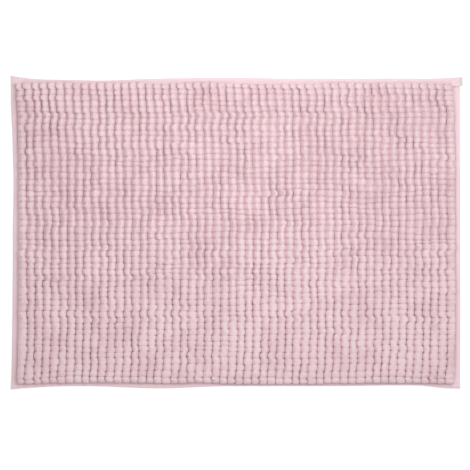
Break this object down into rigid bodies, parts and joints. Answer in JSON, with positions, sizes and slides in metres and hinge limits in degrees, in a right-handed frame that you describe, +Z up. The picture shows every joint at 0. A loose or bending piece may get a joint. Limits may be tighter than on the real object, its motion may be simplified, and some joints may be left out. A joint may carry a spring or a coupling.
{
  "type": "bath mat",
  "caption": "Rectangular tufted chenille bath mat: rows of plump soft tufts on a cloth whose margins are folded under as hems, with an anti-slip coated underside.",
  "frame": {"origin": "centre of the mat's underside, where it lies on the floor", "axes": "+X along the mat's length, +Y along its width (the way the rows of tufts run), +Z up out of the pile"},
  "size_m": [0.6068, 0.4212, 0.0142],
  "materials": {
    "chenille": "matt microfibre chenille, pale pink",
    "base_cloth": "plain woven polyester cloth, pale pink",
    "backing": "matt off-white anti-slip coating",
    "thread": "twisted polyester sewing thread, pale pink"
  },
  "bodies": {
    "root": {"chenille_row_01": "chenille", "chenille_row_02": "chenille", "chenille_row_03": "chenille", "chenille_row_04": "chenille", "chenille_row_05": "chenille", "chenille_row_06": "chenille", "chenille_row_07": "chenille", "chenille_row_08": "chenille", "chenille_row_09": "chenille", "chenille_row_10": "chenille", "chenille_row_11": "chenille", "chenille_row_12": "chenille", "chenille_row_13": "chenille", "chenille_row_14": "chenille", "chenille_row_15": "chenille", "chenille_row_16": "chenille", "chenille_row_17": "chenille", "chenille_row_18": "chenille", "chenille_row_19": "chenille", "chenille_row_20": "chenille", "chenille_row_21": "chenille", "chenille_row_22": "chenille", "chenille_row_23": "chenille", "chenille_row_24": "chenille", "chenille_row_25": "chenille", "chenille_row_26": "chenille", "chenille_row_27": "chenille", "chenille_row_28": "chenille", "chenille_row_29": "chenille", "chenille_row_30": "chenille", "chenille_row_31": "chenille", "chenille_row_32": "chenille", "chenille_row_33": "chenille", "chenille_row_34": "chenille", "chenille_row_35": "chenille", "chenille_row_36": "chenille", "chenille_row_37": "chenille", "chenille_row_38": "chenille", "chenille_row_39": "chenille", "chenille_row_40": "chenille", "chenille_row_41": "chenille", "chenille_row_42": "chenille", "chenille_row_43": "chenille", "chenille_row_44": "chenille", "chenille_row_45": "chenille", "chenille_row_46": "chenille", "chenille_row_47": "chenille", "chenille_row_48": "chenille", "chenille_row_49": "chenille", "chenille_row_50": "chenille", "chenille_row_51": "chenille", "chenille_row_52": "chenille", "chenille_row_53": "chenille", "chenille_row_54": "chenille", "base_cloth": "base_cloth", "anti_slip_backing": "backing", "hem_thread_front": "thread", "hem_thread_back": "thread", "hem_thread_left": "thread", "hem_thread_right": "thread"}
  },
  "joints": []
}
